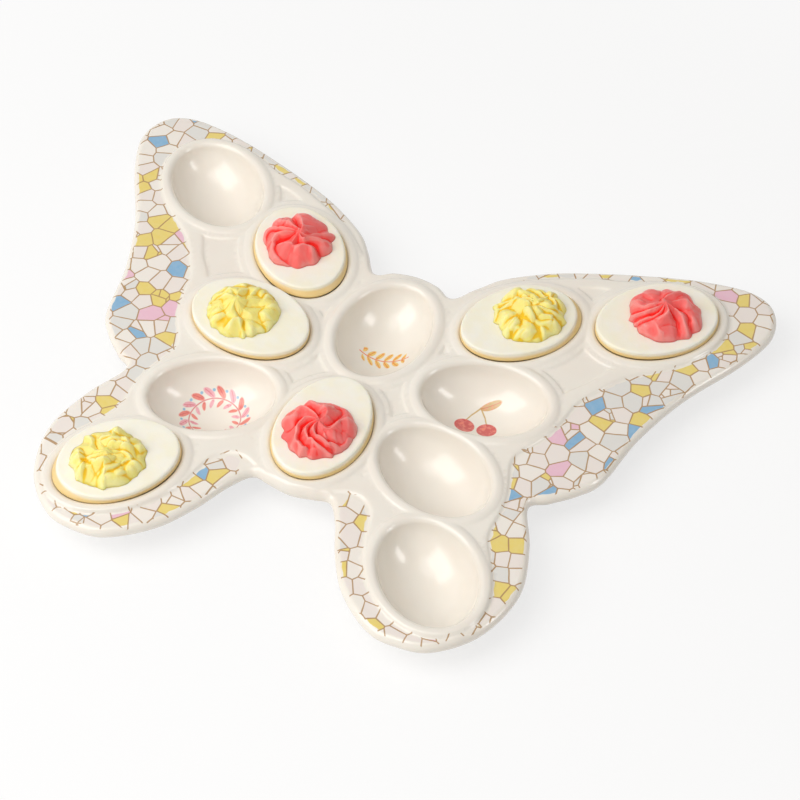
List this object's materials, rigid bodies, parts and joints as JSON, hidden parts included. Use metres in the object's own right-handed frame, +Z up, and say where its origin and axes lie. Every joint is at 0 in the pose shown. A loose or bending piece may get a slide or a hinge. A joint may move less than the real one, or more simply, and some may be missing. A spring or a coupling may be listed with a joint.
{
  "type": "deviled egg platter",
  "caption": "Butterfly-shaped glazed ceramic platter with egg-shaped wells, set with filled half eggs that lift out.",
  "frame": {"origin": "under the middle of the platter, on the surface that it stands on", "axes": "+X across the wings, to the right as seen from above with the head away, +Y towards the head, +Z up"},
  "size_m": [0.3422, 0.2636, 0.038],
  "materials": {
    "ceramic": "glossy warm white glaze with a pale printed mosaic along the wing borders",
    "egg_white": "moist boiled egg white",
    "pink_filling": "soft piped paste",
    "yellow_filling": "soft piped paste"
  },
  "bodies": {
    "platter": {"platter": "ceramic"},
    "egg_forewing_left": {"egg_white_forewing_left": "egg_white", "filling_forewing_left": "pink_filling"},
    "egg_wing_left": {"egg_white_wing_left": "egg_white", "filling_wing_left": "yellow_filling"},
    "egg_hindwing_left": {"egg_white_hindwing_left": "egg_white", "filling_hindwing_left": "yellow_filling"},
    "egg_tail": {"egg_white_tail": "egg_white", "filling_tail": "pink_filling"},
    "egg_forewing_right": {"egg_white_forewing_right": "egg_white", "filling_forewing_right": "yellow_filling"},
    "egg_tip_right": {"egg_white_tip_right": "egg_white", "filling_tip_right": "pink_filling"}
  },
  "joints": [
    {"name": "lift_forewing_left", "type": "slide", "parent": "platter", "child": "egg_forewing_left", "axis": [0, 0, 1], "range_m": [0, 0.045]},
    {"name": "lift_wing_left", "type": "slide", "parent": "platter", "child": "egg_wing_left", "axis": [0, 0, 1], "range_m": [0, 0.045]},
    {"name": "lift_hindwing_left", "type": "slide", "parent": "platter", "child": "egg_hindwing_left", "axis": [0, 0, 1], "range_m": [0, 0.045]},
    {"name": "lift_tail", "type": "slide", "parent": "platter", "child": "egg_tail", "axis": [0, 0, 1], "range_m": [0, 0.045]},
    {"name": "lift_forewing_right", "type": "slide", "parent": "platter", "child": "egg_forewing_right", "axis": [0, 0, 1], "range_m": [0, 0.045]},
    {"name": "lift_tip_right", "type": "slide", "parent": "platter", "child": "egg_tip_right", "axis": [0, 0, 1], "range_m": [0, 0.045]}
  ]
}
